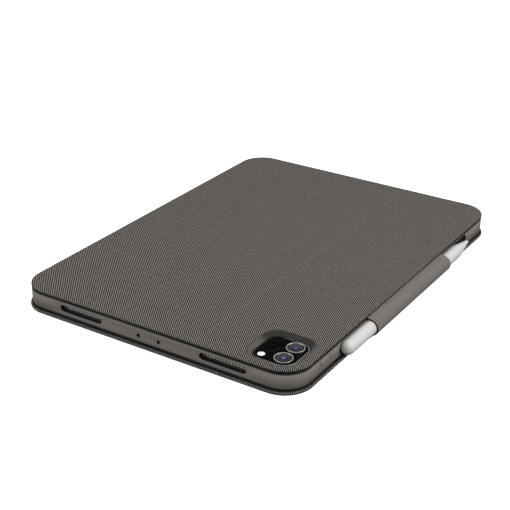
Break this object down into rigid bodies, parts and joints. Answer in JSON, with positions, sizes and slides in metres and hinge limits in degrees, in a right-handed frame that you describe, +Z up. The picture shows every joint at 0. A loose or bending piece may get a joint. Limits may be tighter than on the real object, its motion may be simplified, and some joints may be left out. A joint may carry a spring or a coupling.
{
  "type": "tablet keyboard case",
  "caption": "Woven folio keyboard case, closed round a tablet, with a kickstand back, a camera window and a magnetic flap that holds a stylus.",
  "frame": {"origin": "centre of the covers' plan on the face that the closed case lies on", "axes": "+X along the long side, with the camera at -X; +Y towards the hinged spine, -Y the edge with the stylus and the flap; +Z up from the keyboard cover to the back cover"},
  "size_m": [0.2574, 0.1943, 0.0148],
  "materials": {
    "cover_fabric": "two-tone woven, matt",
    "flap_fabric": "fine weave, matt",
    "board": "matt",
    "liner": "brushed microfibre",
    "magnet": "plated",
    "steel": "plated",
    "deck": "fine grain",
    "circuit": "solder resist",
    "dome": "matt",
    "keycap": "fine matt",
    "trackpad": "satin",
    "tray": "smooth satin",
    "connector": "matt",
    "gold_contact": "plated",
    "tablet_metal": "bead blasted",
    "screen_glass": "polished",
    "camera_black": "polished",
    "lens": "coated",
    "flash": "diffuse",
    "stylus": "satin"
  },
  "bodies": {
    "base": {"base_fabric": "cover_fabric", "base_board": "board", "base_liner": "liner", "base_magnets": "magnet", "landing_plate": "steel", "keyboard_deck": "deck", "key_plate": "steel", "keyboard_circuit": "circuit", "key_domes": "dome", "trackpad_frame": "steel", "trackpad_switch": "dome"},
    "hinge_strip": {"strip_fabric": "cover_fabric", "strip_cable": "circuit"},
    "tray": {"tray_frame": "tray", "back_plate": "board", "tray_magnets": "magnet", "connector_block": "connector", "contact_pins": "gold_contact", "cover_board": "board", "cover_fabric": "cover_fabric", "camera_surround": "tray", "flap_root": "flap_fabric", "hinge_leaves_fixed": "steel", "hinge_pins": "steel", "tablet_housing": "tablet_metal", "tablet_glass": "screen_glass", "camera_island": "camera_black", "camera_rim": "tablet_metal", "lens_ring_wide": "tablet_metal", "lens_ring_ultra": "tablet_metal", "lens_glass_wide": "lens", "lens_glass_ultra": "lens", "camera_flash": "flash", "depth_sensor": "camera_black", "stylus_barrel": "stylus", "stylus_nib": "stylus"},
    "kickstand": {"kickstand_board": "board", "kickstand_fabric": "cover_fabric", "kickstand_magnets": "magnet", "hinge_leaves_moving": "steel"},
    "flap": {"flap_fabric": "flap_fabric"},
    "flap_tip": {"flap_tip_fabric": "flap_fabric", "flap_magnet": "magnet"},
    "function_row": {"keys_function": "keycap"},
    "number_row": {"keys_number": "keycap"},
    "upper_row": {"keys_upper": "keycap"},
    "home_row": {"keys_home": "keycap"},
    "lower_row": {"keys_lower": "keycap"},
    "bottom_row": {"keys_bottom": "keycap"},
    "space_key": {"space_bar": "keycap"},
    "trackpad_body": {"trackpad": "trackpad"},
    "volume_up_key": {"volume_up_button": "tray"},
    "volume_down_key": {"volume_down_button": "tray"}
  },
  "joints": [
    {"name": "spine_fold", "type": "hinge", "parent": "base", "child": "hinge_strip", "pos_m": [0, 0.09245, 0.0012], "axis": [-1, 0, 0], "range_deg": [0, 90]},
    {"name": "tray_fold", "type": "hinge", "parent": "hinge_strip", "child": "tray", "pos_m": [0, 0.09245, 0.012], "axis": [-1, 0, 0], "range_deg": [0, 60]},
    {"name": "kickstand_fold", "type": "hinge", "parent": "tray", "child": "kickstand", "pos_m": [0, -0.0301, 0.01385], "axis": [1, 0, 0], "range_deg": [0, 120]},
    {"name": "flap_open", "type": "hinge", "parent": "tray", "child": "flap", "pos_m": [0, -0.0951, 0.01235], "axis": [-1, 0, 0], "range_deg": [0, 110]},
    {"name": "flap_tip_fold", "type": "hinge", "parent": "flap", "child": "flap_tip", "pos_m": [0, -0.0949, 0.00045], "axis": [-1, 0, 0], "range_deg": [0, 70], "stiffness_Nm_per_rad": 0.003, "springref_deg": -20.05},
    {"name": "function_row_press", "type": "slide", "parent": "base", "child": "function_row", "axis": [0, 0, -1], "range_m": [0, 0.001], "stiffness_N_per_m": 2100, "springref_m": -0.0003},
    {"name": "number_row_press", "type": "slide", "parent": "base", "child": "number_row", "axis": [0, 0, -1], "range_m": [0, 0.001], "stiffness_N_per_m": 2100, "springref_m": -0.0003},
    {"name": "upper_row_press", "type": "slide", "parent": "base", "child": "upper_row", "axis": [0, 0, -1], "range_m": [0, 0.001], "stiffness_N_per_m": 2100, "springref_m": -0.0003},
    {"name": "home_row_press", "type": "slide", "parent": "base", "child": "home_row", "axis": [0, 0, -1], "range_m": [0, 0.001], "stiffness_N_per_m": 1950, "springref_m": -0.0003},
    {"name": "lower_row_press", "type": "slide", "parent": "base", "child": "lower_row", "axis": [0, 0, -1], "range_m": [0, 0.001], "stiffness_N_per_m": 1800, "springref_m": -0.0003},
    {"name": "bottom_row_press", "type": "slide", "parent": "base", "child": "bottom_row", "axis": [0, 0, -1], "range_m": [0, 0.001], "stiffness_N_per_m": 1500, "springref_m": -0.0003},
    {"name": "space_key_press", "type": "slide", "parent": "base", "child": "space_key", "axis": [0, 0, -1], "range_m": [0, 0.001], "stiffness_N_per_m": 600, "springref_m": -0.0003},
    {"name": "trackpad_click", "type": "slide", "parent": "base", "child": "trackpad_body", "axis": [0, 0, -1], "range_m": [0, 0.0003], "stiffness_N_per_m": 2500, "springref_m": -0.0002},
    {"name": "volume_up_key_press", "type": "slide", "parent": "tray", "child": "volume_up_key", "axis": [0, 1, 0], "range_m": [0, 0.0004], "stiffness_N_per_m": 1500, "springref_m": -0.0002},
    {"name": "volume_down_key_press", "type": "slide", "parent": "tray", "child": "volume_down_key", "axis": [0, 1, 0], "range_m": [0, 0.0004], "stiffness_N_per_m": 1500, "springref_m": -0.0002}
  ]
}
